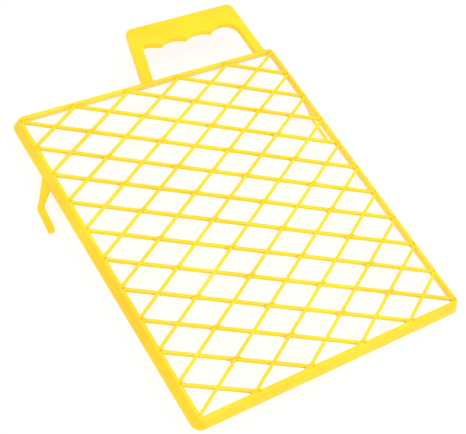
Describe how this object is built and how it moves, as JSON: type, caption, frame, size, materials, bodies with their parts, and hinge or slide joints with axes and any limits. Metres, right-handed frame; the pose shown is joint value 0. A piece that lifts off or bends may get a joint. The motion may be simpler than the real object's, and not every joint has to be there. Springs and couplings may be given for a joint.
{
  "type": "paint roller grid",
  "caption": "Flat plastic grid for wiping a paint roller in a bucket: diamond lattice in a flared rim, finger-scalloped hand grip on one short side and a rim hook under each long side.",
  "frame": {"origin": "middle of the footprint, hand grip and hooks included, at the level of the hooks' lowest edge", "axes": "+Z out of the working face, +Y along the grid towards the hand grip, +X across it to the right; the hooks hang towards -Z"},
  "size_m": [0.2804, 0.3634, 0.0313],
  "materials": {
    "yellow_plastic": "satin moulded polypropylene"
  },
  "bodies": {
    "root": {"falling_rib_01": "yellow_plastic", "falling_rib_02": "yellow_plastic", "falling_rib_03": "yellow_plastic", "falling_rib_04": "yellow_plastic", "falling_rib_05": "yellow_plastic", "falling_rib_06": "yellow_plastic", "falling_rib_07": "yellow_plastic", "falling_rib_08": "yellow_plastic", "falling_rib_09": "yellow_plastic", "falling_rib_10": "yellow_plastic", "falling_rib_11": "yellow_plastic", "falling_rib_12": "yellow_plastic", "falling_rib_13": "yellow_plastic", "falling_rib_14": "yellow_plastic", "handle_grip": "yellow_plastic", "handle_left_leg": "yellow_plastic", "handle_right_leg": "yellow_plastic", "hook_left": "yellow_plastic", "hook_right": "yellow_plastic", "rim_corner_foot_left": "yellow_plastic", "rim_corner_foot_right": "yellow_plastic", "rim_corner_handle_left": "yellow_plastic", "rim_corner_handle_right": "yellow_plastic", "rim_foot_wall": "yellow_plastic", "rim_handle_wall": "yellow_plastic", "rim_left_wall": "yellow_plastic", "rim_right_wall": "yellow_plastic", "rising_rib_01": "yellow_plastic", "rising_rib_02": "yellow_plastic", "rising_rib_03": "yellow_plastic", "rising_rib_04": "yellow_plastic", "rising_rib_05": "yellow_plastic", "rising_rib_06": "yellow_plastic", "rising_rib_07": "yellow_plastic", "rising_rib_08": "yellow_plastic", "rising_rib_09": "yellow_plastic", "rising_rib_10": "yellow_plastic", "rising_rib_11": "yellow_plastic", "rising_rib_12": "yellow_plastic", "rising_rib_13": "yellow_plastic", "rising_rib_14": "yellow_plastic"}
  },
  "joints": []
}
